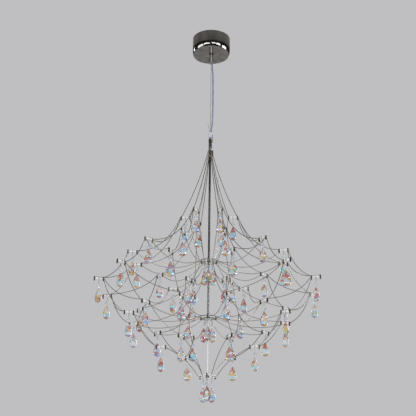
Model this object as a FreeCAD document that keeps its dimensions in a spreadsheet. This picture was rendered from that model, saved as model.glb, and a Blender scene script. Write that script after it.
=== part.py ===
import FreeCAD, Part
import math
import os

V = FreeCAD.Vector
os.makedirs("parts", exist_ok=True)
doc = FreeCAD.newDocument("crystal_chandelier")

# ---------------------------------------------------------------- driving dimensions, mm and degrees
# Levels are distances below the ceiling face, which is z = 0 on the axis of the canopy.
SIZES = {
    "canopy_dia": 142.0, "canopy_drop": 70.0, "canopy_skin": 1.4, "canopy_edge": 8.0,
    "bracket_room": 10.0, "bracket_width": 24.0, "bracket_thick": 2.5,
    "bolt_pitch": 88.0, "bolt_bore": 5.0,
    "driver_length": 72.0, "driver_width": 38.0, "driver_tall": 30.0, "driver_offset": 8.0,
    "stem_dia": 8.0, "stem_grip": 8.0, "nut_dia": 15.0, "nut_thick": 5.0,
    "neck_wall": 1.5, "neck_tall": 4.0, "collar_dia": 17.0, "collar_tall": 32.0,
    "grub_dia": 4.0, "grub_proud": 1.0, "grub_depth": 2.5,
    "ball_dia": 8.0, "ball_height": 8.3, "socket_room": 0.5, "mouth_lip": 0.4,
    "crimp_dia": 2.6, "crimp_tall": 3.0,
    "cable_dia": 1.5, "cord_dia": 5.0, "cord_top": 109.0,
    "sleeve_dia": 13.0, "sleeve_room": 3.0, "sleeve_tall": 20.0,
    "hub_dia": 12.0, "hub_level": 421.0, "hub_tall": 46.0,
    "ferrule_dia": 14.0, "ferrule_tall": 30.0, "feed_tall": 22.0, "feed_width": 5.0,
    "rod_dia": 7.5, "rod_foot_dia": 4.0,
    "tier_turn": -3.5,
    "a_radius": 85.0, "a_level": 735.0,
    "b_radius": 272.0, "b_level": 887.0,
    "c_radius": 384.0, "c_level": 994.0,
    "i_radius": 123.0, "i_level": 1002.0,
    "d_radius": 276.0, "d_level": 1107.0,
    "f_radius": 160.0, "f_level": 1210.0,
    "ring_radius": 30.0, "ring_width": 2.4, "ring_tall": 3.0,
    "m_level": 900.0, "l_level": 1106.0, "g_below_l": 208.0,
    "spoke_width": 3.0, "spoke_tall": 4.0, "spoke_post": 11.0, "boss_dia": 13.0, "cluster_radius": 17.0,
    "lamp_length": 27.0, "lamp_dia": 8.6, "post_width": 4.4, "post_above": 7.0, "post_below": 9.0,
    "wire_gauge": 2.2, "swag_gauge": 1.8, "seat_gap": 0.3,
    "bail_wire": 1.1, "bail_plate": 1.2, "bail_room": 0.6, "bail_drop": 20.0,
    "bead_dia": 14.0, "bead_tall": 14.0, "drop_dia": 28.0, "drop_depth": 23.0, "drop_tall": 54.0,
    "swag_sag": 36.0,
}
# Sizes that follow from the ones above.
DERIVED = {
    "bracket_length": "=canopy_dia - 2 * bracket_room",
    "neck_dia": "=stem_dia + 2 * neck_wall",
    "pivot_level": "=canopy_drop + seat_gap + neck_tall + collar_tall - ball_height",
    "mouth_dia": "=ball_dia - 2 * mouth_lip",
    "sleeve_level": "=hub_level - sleeve_tall - sleeve_room",
    "g_level": "=l_level + g_below_l",
}

sheet = doc.addObject("Spreadsheet::Sheet", "Sizes")
for row, (alias, value) in enumerate((SIZES | DERIVED).items(), start=1):
    sheet.set("A%d" % row, alias)
    sheet.set("B%d" % row, str(value))
    sheet.setAlias("B%d" % row, alias)
doc.recompute()


def size(alias):
    return float(getattr(sheet, alias))


gap = size("seat_gap")
nodes = []


# ---------------------------------------------------------------- helpers
def keep(feature, label):
    """Name a finished sub-part and put it on the list of nodes to write."""
    feature.Label = label
    nodes.append(feature)
    return feature


def solids(label, shapes):
    """A sub-part of one or more solids worked out from the sheet in code."""
    feature = doc.addObject("Part::Feature", label)
    feature.Shape = Part.makeCompound(shapes)
    feature.Placement = FreeCAD.Placement()
    return keep(feature, label)


def primitive(kind, name, at=(None, None, None), **bound):
    """A Part primitive whose sizes and place are expressions on the sheet."""
    feature = doc.addObject("Part::" + kind, name)
    for prop, text in bound.items():
        feature.setExpression(prop, text)
    for axis, text in zip("xyz", at):
        if text:
            feature.setExpression("Placement.Base." + axis, text)
    return feature


def cut(base, *tools):
    """Base with each tool taken away in turn."""
    for tool in tools:
        result = doc.addObject("Part::Cut", base.Name + "_cut")
        result.Base = base
        result.Tool = tool
        base = result
    return base


def join(*pieces):
    result = doc.addObject("Part::MultiFuse", pieces[0].Name + "_joined")
    result.Shapes = list(pieces)
    return result


def polar(radius, azimuth, z):
    a = math.radians(azimuth)
    return V(radius * math.cos(a), radius * math.sin(a), z)


def shell_solid(corners, triangles):
    """A closed faceted solid from its corner points and triangles."""
    faces = [Part.Face(Part.makePolygon([corners[i] for i in t + (t[0],)])) for t in triangles]
    solid = Part.Solid(Part.makeShell(faces))
    if solid.Volume < 0:
        solid.reverse()
    return solid


def cut_stone(rings, sides):
    """A cut crystal: rings of (z, half width, half depth), staggered so that every facet is a triangle."""
    corners, rows = [], []
    for k, (z, wide, deep) in enumerate(rings):
        if wide == 0:
            rows.append([len(corners)] * sides)
            corners.append(V(0, 0, z))
            continue
        rows.append([])
        for j in range(sides):
            a = 2 * math.pi * (j + 0.5 * (k % 2)) / sides
            rows[-1].append(len(corners))
            corners.append(V(deep * math.cos(a), wide * math.sin(a), z))
    triangles = []
    for k in range(len(rows) - 1):
        upper, lower, turn = rows[k], rows[k + 1], k % 2
        for j in range(sides):
            n = (j + 1) % sides
            if turn == 0:
                pair = ((upper[j], lower[j], upper[n]), (upper[n], lower[j], lower[n]))
            else:
                pair = ((upper[j], lower[j], lower[n]), (upper[j], lower[n], upper[n]))
            triangles += [t for t in pair if len(set(t)) == 3]
    for row in (rows[0], rows[-1][::-1]):
        if len(set(row)) == sides:
            triangles += [(row[0], row[j], row[j + 1]) for j in range(1, sides - 1)]
    return shell_solid(corners, triangles)


def strip(points, across, gauge):
    """A wire of square section along points that lie in one plane, whose normal is across."""
    rims = ([], [])
    for i, p in enumerate(points):
        before = (p - points[i - 1]).normalize() if i else None
        after = (points[i + 1] - p).normalize() if i + 1 < len(points) else None
        along = (before or after) + (after or before)
        along.normalize()
        lean = along.dot(before or after)
        side = across.cross(along) * (gauge / 2 / lean)
        rims[0].append(p + side - across * (gauge / 2))
        rims[1].append(p - side - across * (gauge / 2))
    outline = rims[0] + rims[1][::-1]
    return Part.Face(Part.makePolygon(outline + outline[:1])).extrude(across * gauge)


# ---------------------------------------------------------------- seats: what a wire ends on
def post_seat(tier, azimuth, side, height):
    """A seat on the inner (-1) or outer (+1) post of the lamp at this azimuth, at a height off its axis."""
    radius = size(tier + "_radius") + side * (size("lamp_length") + size("post_width")) / 2
    turned = azimuth + size("tier_turn")
    return polar(radius, turned, height - size(tier + "_level")), turned, size("post_width") / 2


def ring_seat(ring, azimuth, height):
    """A seat on the twelve-sided rim of a spider, whose corners lie 15 degrees off its spokes' sixes."""
    turned = azimuth + size("tier_turn")
    off_corner = math.radians(15 - azimuth % 30) if azimuth % 30 <= 15 else math.radians(azimuth % 30 - 15)
    radius = (size("ring_radius") + size("ring_width") / 2) * math.cos(math.radians(15))
    radius /= math.cos(math.radians(15) - off_corner)
    return polar(radius, turned, height - size(ring + "_level")), turned, 0.0


def ferrule_seat(azimuth, depth):
    turned = azimuth + size("tier_turn")
    z = -size("hub_level") - size("hub_tall") - depth
    return polar(size("ferrule_dia") / 2, turned, z), turned, 0.0


def stand_off(seat, heading, steep, gauge):
    """How far from the seat's axis a wire's middle line starts, clear of the seat by the seat gap."""
    turned, half = seat[1], seat[2]
    u = polar(1, turned, 0)
    reach = half * (abs(heading.dot(u)) + abs(heading.cross(u).Length))
    return reach + gap + steep * gauge / 2


def run(upper, lower, bend, spans, gauge, sag=None):
    """A wire that hangs in one upright plane from its upper seat to its lower seat.

    bend is where the curve's middle control point lies, as shares of the way out and the way down.
    With a sag the control point hangs that far below the ends instead, and the wire is a swag.
    """
    flat = V(lower[0].x - upper[0].x, lower[0].y - upper[0].y, 0)
    heading = V(flat).normalize()
    across = heading.cross(V(0, 0, 1))
    z0, z1 = upper[0].z, lower[0].z
    for _ in range(2):
        middle_z = z0 + bend[1] * (z1 - z0) if sag is None else min(z0, z1) - 2 * sag
        middle = bend[0] * flat.Length
        steep = [abs(dz) / math.hypot(ds, dz) for ds, dz in
                 ((middle, middle_z - z0), (flat.Length - middle, z1 - middle_z))]
    first = upper[0] + heading * stand_off(upper, heading, steep[0], gauge)
    last = lower[0] - heading * stand_off(lower, heading, steep[1], gauge)
    length = V(last.x - first.x, last.y - first.y, 0).Length
    control = V(first.x, first.y, middle_z) + heading * (bend[0] * length)
    points = []
    for k in range(spans + 1):
        t = k / spans
        points.append(first * (1 - t) ** 2 + control * (2 * t * (1 - t)) + last * t ** 2)
    return strip(points, across, gauge)


# ---------------------------------------------------------------- tiers and lamps
SIXES = [60 * k for k in range(6)]
TWELVES = [15 + 30 * k for k in range(12)]
TIERS = {"a": SIXES, "b": TWELVES, "c": TWELVES, "i": SIXES, "d": TWELVES, "f": SIXES}


def frontward(azimuth, step):
    """The step turned toward the front on the left and right flanks, or nothing at the front itself."""
    azimuth %= 360
    if 240 <= azimuth <= 300:
        return None
    return step if 90 <= azimuth < 240 else -step


def lamp_tube(tier, azimuth):
    """A festoon lamp's glass, drawn with six sides, along the X axis between its two posts."""
    half = size("lamp_dia") / 2
    turns = [math.radians(60 * k) for k in range(7)]
    rim = Part.makePolygon([V(0, half * math.cos(a), half * math.sin(a)) for a in turns])
    solid = Part.Face(rim).extrude(V(size("lamp_length") - 2 * gap, 0, 0))
    return placed(solid, tier, azimuth, -size("lamp_length") / 2 + gap, 0)


def lamp_posts(tier, azimuth):
    wide = size("post_width")
    tall = size("post_above") + size("post_below")
    for side in (-1, 1):
        middle = side * (size("lamp_length") + wide) / 2
        block = Part.makeBox(wide, wide, tall, V(-wide / 2, -wide / 2, -size("post_below")))
        yield placed(block, tier, azimuth, middle, 0)


def placed(shape, tier, azimuth, out, up):
    """A shape modelled on the X axis, moved to a lamp of a tier and turned to its azimuth."""
    turned = azimuth + size("tier_turn")
    shape = shape.copy()
    shape.Placement = FreeCAD.Placement(
        polar(size(tier + "_radius") + out, turned, up - size(tier + "_level")),
        FreeCAD.Rotation(V(0, 0, 1), turned))
    return shape


# ---------------------------------------------------------------- crystals
def pendant(bar_top, bar_half):
    """A triangular wire bail over a bar along X, with the cut bead and the pear drop hanging under it."""
    wire = size("bail_wire")
    top = bar_top + gap
    half = bar_half + size("bail_room") + 2.6
    low = -size("bail_drop") + 2.6 * wire
    inner = [V(0, -half, top), V(0, half, top), V(0, 0, low)]
    outer = [V(0, -half - 1.75 * wire, top + wire), V(0, half + 1.75 * wire, top + wire),
             V(0, 0, -size("bail_drop"))]
    whole, window = (Part.Face(Part.makePolygon(p + p[:1])) for p in (outer, inner))
    bail = whole.cut(window).Faces[0].extrude(V(size("bail_plate"), 0, 0))
    bail.translate(V(-size("bail_plate") / 2, 0, 0))
    z = -size("bail_drop") - gap
    radius = size("bead_dia") / 2
    bead = cut_stone([(z, 0, 0), (z - size("bead_tall") / 2, radius, radius), (z - size("bead_tall"), 0, 0)], 6)
    z -= size("bead_tall") + gap
    wide, deep, tall = size("drop_dia") / 2, size("drop_depth") / 2, size("drop_tall")
    drop = cut_stone([(z, 0, 0), (z - 0.34 * tall, 0.74 * wide, 0.74 * deep), (z - 0.68 * tall, wide, deep),
                      (z - tall, 0, 0)], 8)
    return [bail, bead, drop]


lamp_pendant = pendant(size("lamp_dia") / 2, size("lamp_dia") / 2)
spoke_pendant = pendant(size("spoke_tall") / 2, size("spoke_width") / 2)


SPOKES = (30, 150, 270)


def crystals(tier, azimuths):
    """The pendant of each lamp at these azimuths, hung over its glass tube."""
    return [placed(piece, tier, azimuth, 0, 0) for azimuth in azimuths for piece in lamp_pendant]


def cluster(ring):
    """One pendant over each spoke of a ring."""
    pieces = []
    for azimuth in SPOKES:
        turned = azimuth + size("tier_turn")
        for piece in spoke_pendant:
            piece = piece.copy()
            piece.Placement = FreeCAD.Placement(
                polar(size("cluster_radius"), turned, -size(ring + "_level")),
                FreeCAD.Rotation(V(0, 0, 1), turned))
            pieces.append(piece)
    return pieces


# ---------------------------------------------------------------- canopy and what it holds
def canopy_cup():
    """The drum with its bevelled lower edge, hollow from above, bored for the stem."""
    body = doc.addObject("PartDesign::Body", "canopy_body")

    def stage(kind, name, **bound):
        feature = doc.addObject("PartDesign::" + kind, name)
        body.addObject(feature)
        for prop, text in bound.items():
            feature.setExpression(prop.replace("_", "."), text)
        return feature

    stage("AdditiveCylinder", "drum", Radius="Sizes.canopy_dia / 2",
          Height="Sizes.canopy_drop - Sizes.canopy_edge", Placement_Base_z="Sizes.canopy_edge - Sizes.canopy_drop")
    stage("AdditiveCone", "bevel", Radius1="Sizes.canopy_dia / 2 - 0.5 * Sizes.canopy_edge",
          Radius2="Sizes.canopy_dia / 2", Height="Sizes.canopy_edge", Placement_Base_z="-Sizes.canopy_drop")
    for name, sides, radius, floor in (
            ("hollow", 24, "Sizes.canopy_dia / 2 - Sizes.canopy_skin",
             "Sizes.canopy_edge - Sizes.canopy_drop"),
            ("well", 24, "Sizes.canopy_dia / 2 - Sizes.canopy_edge",
             "Sizes.canopy_skin - Sizes.canopy_drop"),
            ("stem_bore", 12, "Sizes.stem_dia / 2 + Sizes.seat_gap", "-Sizes.canopy_drop")):
        space = stage("SubtractivePrism", name, Circumradius=radius, Height="Sizes.canopy_drop",
                      Placement_Base_z=floor)
        space.Polygon = sides
    body.Tip = space
    return body


def round_bar(name, sides, radius, height, low, x=None, y=None):
    """A turned piece on an upright axis, drawn as a prism of this many sides."""
    bar = primitive("Prism", name, (x, y, low), Circumradius=radius, Height=height)
    bar.Polygon = sides
    return bar


def cross_bore(name, azimuth, depth, level, radius):
    """A radial round hole or screw of the collar, from its face inward."""
    bar = primitive("Prism", name, (None, None, "-" + level), Circumradius=radius, Height=depth)
    bar.Polygon = 6
    bar.Placement.Rotation = FreeCAD.Rotation(V(0, 0, 1), polar(1, azimuth, 0))
    direction = polar(1, azimuth, 0)
    inner = "(Sizes.collar_dia / 2 - Sizes.grub_depth)"
    bar.setExpression("Placement.Base.x", "%s * %.6f" % (inner, direction.x))
    bar.setExpression("Placement.Base.y", "%s * %.6f" % (inner, direction.y))
    return bar


COLLAR_TOP = "(Sizes.canopy_drop + Sizes.seat_gap)"
GRUBS = {"left": (215, "(Sizes.canopy_drop + 9)"), "right": (325, "(Sizes.canopy_drop + 9)"),
         "low": (325, "(Sizes.canopy_drop + 28)")}

keep(canopy_cup(), "canopy_drum")

plate = primitive("Box", "bracket_plate", ("-Sizes.bracket_length / 2", "-Sizes.bracket_width / 2",
                                           "-Sizes.bracket_thick"),
                  Length="Sizes.bracket_length", Width="Sizes.bracket_width", Height="Sizes.bracket_thick")
bolt_holes = [primitive("Cylinder", "bolt_hole_" + side,
                        (sign + "Sizes.bolt_pitch / 2", None, "-Sizes.bracket_thick"),
                        Radius="Sizes.bolt_bore / 2", Height="Sizes.bracket_thick")
              for side, sign in (("left", "-"), ("right", ""))]
stem_hole = round_bar("bracket_stem_hole", 12, "Sizes.stem_dia / 2 + Sizes.seat_gap", "Sizes.bracket_thick",
                      "-Sizes.bracket_thick")
keep(cut(plate, *bolt_holes, stem_hole), "ceiling_bracket")

keep(primitive("Box", "driver_box", ("-Sizes.driver_length / 2", "Sizes.driver_offset",
                                     "-Sizes.bracket_thick - Sizes.seat_gap - Sizes.driver_tall"),
               Length="Sizes.driver_length", Width="Sizes.driver_width", Height="Sizes.driver_tall"),
     "lamp_driver")

keep(round_bar("stem", 12, "Sizes.stem_dia / 2", "Sizes.canopy_drop + Sizes.stem_grip",
               "-Sizes.canopy_drop - Sizes.stem_grip"), "threaded_stem")

nuts = []
for name, low in (("under_bracket", "-Sizes.bracket_thick - Sizes.seat_gap - Sizes.nut_thick"),
                  ("in_canopy", "Sizes.canopy_skin + Sizes.seat_gap - Sizes.canopy_drop")):
    block = round_bar("nut_" + name, 6, "Sizes.nut_dia / 2", "Sizes.nut_thick", low)
    bore = round_bar("nut_bore_" + name, 12, "Sizes.stem_dia / 2 + Sizes.seat_gap", "Sizes.nut_thick", low)
    nuts.append(cut(block, bore))
nut_pair = doc.addObject("Part::Compound", "nut_pair")
nut_pair.Links = nuts
keep(nut_pair, "stem_nuts")

neck = round_bar("collar_neck", 12, "Sizes.neck_dia / 2", "Sizes.neck_tall + 1",
                 "-%s - Sizes.neck_tall - 1" % COLLAR_TOP)
barrel = round_bar("collar_barrel", 16, "Sizes.collar_dia / 2", "Sizes.collar_tall",
                   "-%s - Sizes.neck_tall - Sizes.collar_tall" % COLLAR_TOP)
collar_cuts = [
    round_bar("collar_stem_bore", 8, "(Sizes.stem_dia / 2 + Sizes.seat_gap) / 0.92", "Sizes.stem_grip + 1",
              "-Sizes.canopy_drop - Sizes.stem_grip - Sizes.seat_gap"),
    round_bar("collar_socket", 8, "Sizes.ball_dia / 2 + Sizes.socket_room",
              "Sizes.ball_dia + 2 * Sizes.seat_gap",
              "-Sizes.pivot_level - Sizes.ball_dia / 2 - Sizes.seat_gap"),
    round_bar("collar_mouth", 8, "Sizes.mouth_dia / 2", "Sizes.pivot_level",
              "-2 * Sizes.pivot_level"),
]
collar_cuts += [cross_bore("grub_hole_" + k, az, "Sizes.collar_dia", lv, "Sizes.grub_dia / 2 + 0.2")
                for k, (az, lv) in GRUBS.items()]
keep(cut(join(neck, barrel), *collar_cuts), "cable_gripper")

screws = doc.addObject("Part::Compound", "grub_trio")
screws.Links = [cross_bore("grub_" + k, az, "Sizes.grub_depth + Sizes.grub_proud", lv, "Sizes.grub_dia / 2")
                for k, (az, lv) in GRUBS.items()]
keep(screws, "gripper_screws")

# ---------------------------------------------------------------- swivel
half_ball = size("ball_dia") / 2
ball = cut_stone([(half_ball * math.cos(math.radians(a)), half_ball * math.sin(math.radians(a)),
                   half_ball * math.sin(math.radians(a))) for a in (20, 60, 100, 140, 165)], 8)
ball.Placement.Base = V(0, 0, -size("pivot_level"))
solids("swivel_ball", [ball])

# ---------------------------------------------------------------- suspension
def cord(points, diameter):
    """A round cord: straight runs joined by arcs that are tangent to them."""
    edges, last = [], points[0]
    for before, corner, after in zip(points, points[1:], points[2:]):
        back, ahead = before - corner, after - corner
        turn = math.pi - back.getAngle(ahead)
        trim = 0.45 * min(back.Length, ahead.Length)
        a, b = corner + back.normalize() * trim, corner + ahead.normalize() * trim
        radius = trim / math.tan(turn / 2)
        print("arc radius %.0f mm at %s" % (radius, tuple(corner)))
        middle = (a + b) * 0.5
        toward = (middle - corner).normalize()
        sagitta = radius / math.cos(turn / 2) - radius
        edges += [Part.makeLine(last, a), Part.Arc(a, corner + toward * sagitta, b).toShape()]
        last = b
    edges.append(Part.makeLine(last, points[-1]))
    start = (points[1] - points[0]).normalize()
    turns = [2 * math.pi * k / 8 for k in range(9)]
    rim = Part.makePolygon([V(diameter / 2 * math.cos(a), diameter / 2 * math.sin(a), 0) for a in turns])
    section = Part.Face(rim).Area
    rim.Placement = FreeCAD.Placement(points[0], FreeCAD.Rotation(V(0, 0, 1), start))
    tube = Part.Wire(edges).makePipeShell([rim], True, False)
    length = sum(e.Length for e in edges)
    print("cord %.1f mm long, volume ratio %.4f" % (length, tube.Volume / (length * section)))
    return tube


CORD_ROUTE = [V(4.6, 0, -size("cord_top")), V(4.6, 0, -128), V(8.2, 0.4, -163), V(8.2, -0.4, -352), V(3.9, 0, -382),
              V(3.9, 0, -397.7)]
solids("power_cord", [cord(CORD_ROUTE, size("cord_dia"))])

keep(round_bar("steel_cable", 8, "Sizes.cable_dia / 2",
               "Sizes.hub_level - Sizes.pivot_level - Sizes.ball_dia / 2 - Sizes.crimp_tall - 3 * Sizes.seat_gap",
               "Sizes.seat_gap - Sizes.hub_level"), "suspension_cable")
keep(round_bar("crimp", 8, "Sizes.crimp_dia / 2", "Sizes.crimp_tall",
               "-Sizes.pivot_level - Sizes.ball_dia / 2 - Sizes.seat_gap - Sizes.crimp_tall"), "cable_crimp")

sleeve = round_bar("sleeve_body", 16, "Sizes.sleeve_dia / 2", "Sizes.sleeve_tall",
                   "-Sizes.sleeve_level - Sizes.sleeve_tall")
sleeve_bore = round_bar("sleeve_bore", 8, "Sizes.cable_dia / 2 + Sizes.seat_gap", "Sizes.sleeve_tall",
                        "-Sizes.sleeve_level - Sizes.sleeve_tall")
keep(cut(sleeve, sleeve_bore), "cable_sleeve")

# ---------------------------------------------------------------- hub, rod and spiders
keep(round_bar("hub_bar", 16, "Sizes.hub_dia / 2", "Sizes.hub_tall", "-Sizes.hub_level - Sizes.hub_tall"),
     "hub_barrel")
keep(round_bar("ferrule_bar", 16, "Sizes.ferrule_dia / 2", "Sizes.ferrule_tall - Sizes.seat_gap",
               "-Sizes.hub_level - Sizes.hub_tall - Sizes.ferrule_tall"), "wire_ferrule")
FERRULE_LOW = "(Sizes.hub_level + Sizes.hub_tall + Sizes.ferrule_tall)"

connector = primitive("Box", "connector_block",
                      ("Sizes.hub_dia / 2 + Sizes.seat_gap", "-Sizes.feed_width / 2", "-Sizes.hub_level - 37"),
                      Length="Sizes.feed_width", Width="Sizes.feed_width", Height="Sizes.feed_tall - 4")
keep(connector, "feed_connector")
clamp = primitive("Box", "clamp_block", (None, None, "-" + FERRULE_LOW + " + 3"),
                  Length="Sizes.feed_width", Width="Sizes.feed_width", Height="Sizes.feed_tall")
CLAMP_TURN = -33.5
clamp.Placement.Rotation = FreeCAD.Rotation(V(0, 0, 1), CLAMP_TURN)
for axis, along, over in (("x", polar(1, CLAMP_TURN, 0).x, polar(1, CLAMP_TURN + 90, 0).x),
                          ("y", polar(1, CLAMP_TURN, 0).y, polar(1, CLAMP_TURN + 90, 0).y)):
    clamp.setExpression("Placement.Base." + axis, "(Sizes.ferrule_dia / 2 + Sizes.seat_gap) * %.6f"
                        " - Sizes.feed_width / 2 * %.6f" % (along, over))
keep(clamp, "feed_clamp")

lead_low = -size("hub_level") - 37 + size("feed_tall") - 4 + gap
lead_x = size("hub_dia") / 2 + gap + size("feed_width") / 2
sleeve_side = size("sleeve_dia") / 2 + gap + size("swag_gauge") / 2
lead = strip([V(sleeve_side, 0, -size("sleeve_level") - 6), V(sleeve_side, 0, -size("sleeve_level") - 17),
              V(lead_x, 0, lead_low)], V(0, 1, 0), size("swag_gauge"))
tail_low = -size("sleeve_level") + gap
tail = strip([V(-3.4, 0, tail_low), V(-4.2, 0, tail_low + 14), V(-7, 0, tail_low + 27),
              V(-10, 0, tail_low + 36)], V(0, 1, 0), size("swag_gauge") / 2)
solids("loose_leads", [lead, tail])

keep(round_bar("rod_upper", 10, "Sizes.rod_dia / 2", "Sizes.l_level - %s - Sizes.seat_gap" % FERRULE_LOW,
               "-Sizes.l_level"), "center_rod")
keep(round_bar("rod_lower", 8, "Sizes.rod_foot_dia / 2",
               "Sizes.g_level + Sizes.spoke_tall - Sizes.l_level - Sizes.seat_gap",
               "-Sizes.g_level - Sizes.spoke_tall"), "rod_foot")


FLATS_8 = math.cos(math.pi / 8)


def spider(ring, bore_dia):
    """A ring on three spokes with a post at each end, and a boss that slides on the rod."""
    level = -size(ring + "_level")
    tall, wide = size("ring_tall"), size("ring_width")
    rims = []
    for radius in (size("ring_radius") + wide / 2, size("ring_radius") - wide / 2):
        rims.append(Part.makePolygon([polar(radius, size("tier_turn") + 15 + 30 * k, level - tall / 2)
                                      for k in range(13)]))
    whole, window = (Part.Face(rim) for rim in rims)
    band = whole.cut(window).Faces[0].extrude(V(0, 0, tall))
    boss_tall = tall + 3
    boss = Part.makePolygon([polar(size("boss_dia") / 2, 45 * k, level - boss_tall / 2) for k in range(9)])
    pieces = [Part.Face(boss).extrude(V(0, 0, boss_tall))]
    for azimuth in SPOKES:
        spoke = Part.makeBox(size("ring_radius") - wide / 2, size("spoke_width"), size("spoke_tall"),
                             V(0, -size("spoke_width") / 2, -size("spoke_tall") / 2))
        post = Part.makeBox(size("post_width"), size("post_width"), size("spoke_post"),
                            V(size("ring_radius") - size("post_width") / 2, -size("post_width") / 2,
                              -size("spoke_post") / 2))
        for piece in (spoke, post):
            piece.Placement = FreeCAD.Placement(V(0, 0, level), FreeCAD.Rotation(V(0, 0, 1),
                                                                                  azimuth + size("tier_turn")))
            pieces.append(piece)
    bore = Part.makePolygon([polar((bore_dia / 2 + gap) / FLATS_8, 45 * k, level - boss_tall) for k in range(9)])
    return band.multiFuse(pieces).cut(Part.Face(bore).extrude(V(0, 0, 2 * boss_tall))).removeSplitter()


solids("middle_spider", [spider("m", size("rod_dia"))])
solids("lower_spider", [spider("l", size("rod_dia"))])
solids("bottom_spider", [spider("g", size("rod_foot_dia"))])

# ---------------------------------------------------------------- wires
wire, swag = size("wire_gauge"), size("swag_gauge")

hub_wires = []
for az in SIXES:
    hub_wires.append(run(ferrule_seat(az, 4), post_seat("a", az, 1, 5.2), (0.33, 0.52), 3, wire))
    hub_wires.append(run(ferrule_seat(az, 20), post_seat("a", az, -1, 5.2), (0.33, 0.52), 3, wire))
solids("hub_wires", hub_wires)

bell_wires = []
for az in SIXES:
    for rank, step in enumerate((15, -15)):
        bell_wires.append(run(post_seat("a", az, 1, 2.4 - 2.6 * rank), post_seat("b", az + step, -1, 4.6),
                              (0.35, 0.9), 4, wire))
    flank = frontward(az, 45)
    if flank:
        bell_wires.append(run(post_seat("a", az, 1, -3.4), post_seat("b", az + flank, -1, 1.6),
                              (0.35, 0.9), 4, wire))
solids("bell_wires", bell_wires)


def flank_wires(upper, lower, rest):
    """Wires straight out from each lamp of the upper tier, and a second set turned toward the front."""
    side, high, low, second, third, bend = rest
    wires = []
    for az in TWELVES:
        wires.append(run(post_seat(upper, az, side, high), post_seat(lower, az, *low), bend, 4, wire))
        flank = frontward(az, 30)
        if flank and frontward(az + flank, 30) is not None or flank and (az + flank) % 360 in (255, 285):
            wires.append(run(post_seat(upper, az, side, second), post_seat(lower, az + flank, *third),
                             bend, 3, wire))
    return wires


solids("outer_wires", flank_wires("b", "c", (1, -1.4, (-1, 4.6), 2.4, (1, 5.6), (0.3, 0.75))))
solids("return_wires", flank_wires("c", "d", (-1, -4.6, (1, 1.6), 1.2, (1, 4.6), (0.3, 0.72))))

basket = []
for az in TWELVES:
    step = -15 if (az // 15) % 4 == 1 else 15
    basket.append(run(post_seat("d", az, -1, -4.0), post_seat("f", az + step, 1, 4.6 if step > 0 else 1.8),
                      (0.4, 0.7), 4, wire))
for az in SIXES:
    basket.append(run(post_seat("f", az, -1, -3.0), ring_seat("g", az, 0), (0.65, 0.35), 3, wire))
solids("basket_wires", basket)

solids("middle_swags", [run(post_seat("b", az, -1, -4.6), ring_seat("m", az, -1.6), (0.45, 0), 4, swag,
                            sag=size("swag_sag")) for az in TWELVES])
solids("lower_swags", [run(post_seat("d", az, -1, -7.2), ring_seat("l", az, -1.2), (0.45, 0), 4, swag,
                           sag=size("swag_sag") / 2) for az in TWELVES])

inner = []
for az in SIXES:
    inner.append(run(post_seat("a", az, -1, -4.6), ring_seat("m", az, 1.8), (0.25, 0.6), 4, swag))
    inner.append(run(ring_seat("m", az, -1.8), post_seat("i", az, -1, 4.6), (0.2, 0.8), 3, swag))
solids("inner_wires", inner)

links = []
for az in SIXES:
    flank = frontward(az, 45) or (15 if az == 240 else -15)
    links.append(run(post_seat("i", az, 1, 2.0), post_seat("d", az + flank, -1, 4.6), (0.25, 0.85), 3, swag))
solids("cross_wires", links)

# ---------------------------------------------------------------- lamps and pendants
NAMES = {"a": "crown", "b": "shoulder", "c": "widest", "i": "inner", "d": "lower", "f": "basket"}
for tier, azimuths in TIERS.items():
    solids("lamps_" + NAMES[tier], [lamp_tube(tier, az) for az in azimuths])
for label, group in (("lamp_posts_upper", "abc"), ("lamp_posts_lower", "idf")):
    solids(label, [post for tier in group for az in TIERS[tier] for post in lamp_posts(tier, az)])
for tier in "abidf":
    solids("crystals_" + NAMES[tier], crystals(tier, TIERS[tier]))
for number, az in enumerate(TWELVES, start=1):
    solids("pendant_%02d" % number, crystals("c", [az]))
for ring, name in (("m", "middle"), ("l", "low"), ("g", "finial")):
    solids("cluster_" + name, cluster(ring))

# ---------------------------------------------------------------- check and write
doc.recompute()
broken = [o.Label for o in doc.Objects if {"Invalid", "Error"} & set(o.State)]
broken += [n.Label for n in nodes if n.Shape.isNull() or not n.Shape.isValid() or n.Shape.Volume <= 0]
if broken:
    raise RuntimeError("not sound: " + ", ".join(broken))
for node in nodes:
    node.Shape.exportStep("parts/%s.step" % node.Label)
print("wrote %d parts" % len(nodes))
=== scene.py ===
import math
import random

import bpy
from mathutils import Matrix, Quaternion, Vector


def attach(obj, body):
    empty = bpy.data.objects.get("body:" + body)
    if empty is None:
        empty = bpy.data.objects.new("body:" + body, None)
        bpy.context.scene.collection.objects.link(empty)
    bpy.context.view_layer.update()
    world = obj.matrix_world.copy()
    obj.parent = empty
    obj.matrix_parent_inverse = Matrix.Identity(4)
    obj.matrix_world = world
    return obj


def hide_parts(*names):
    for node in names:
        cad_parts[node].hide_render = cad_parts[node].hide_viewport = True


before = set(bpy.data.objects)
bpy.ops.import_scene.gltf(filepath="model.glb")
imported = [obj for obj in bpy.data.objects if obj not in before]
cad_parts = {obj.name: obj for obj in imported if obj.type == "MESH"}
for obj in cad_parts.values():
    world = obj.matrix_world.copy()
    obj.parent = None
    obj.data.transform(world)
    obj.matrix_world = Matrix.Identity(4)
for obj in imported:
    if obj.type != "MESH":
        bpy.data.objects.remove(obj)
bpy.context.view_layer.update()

MM = 0.001
random.seed(11)

# ---------------------------------------------------------------- sizes as in part.py, mm and degrees
TURN = -3.5
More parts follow.
